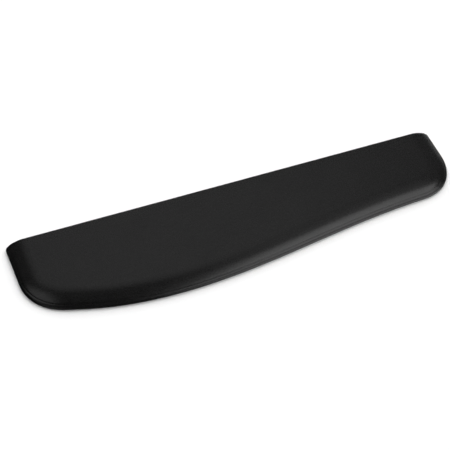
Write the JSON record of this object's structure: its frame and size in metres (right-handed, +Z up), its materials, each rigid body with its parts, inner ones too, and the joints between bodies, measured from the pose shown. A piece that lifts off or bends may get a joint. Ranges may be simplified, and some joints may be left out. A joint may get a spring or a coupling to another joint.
{
  "type": "keyboard wrist rest",
  "caption": "Slim padded wrist rest for a keyboard: straight back edge, swept front edge, rolled rim and flat soft top on an anti-slip base.",
  "frame": {"origin": "middle of the bounding box, on the desk that the pad lies on", "axes": "+X along the length to the user's right, +Y back towards the keyboard, +Z up"},
  "size_m": [0.435, 0.1064, 0.01],
  "materials": {
    "leatherette": "satin",
    "anti_slip_rubber": "matte",
    "board": "matte",
    "firm_foam": "matte",
    "soft_foam": "matte",
    "gel": "gloss",
    "formed_film": "satin",
    "flat_film": "satin"
  },
  "bodies": {
    "root": {"cover_skin": "leatherette", "base_sheet": "anti_slip_rubber", "stiffener_board": "board", "core_board": "firm_foam", "foam_surround": "soft_foam", "gel_pad": "gel", "gel_pouch": "formed_film", "gel_backing_film": "flat_film"}
  },
  "joints": []
}
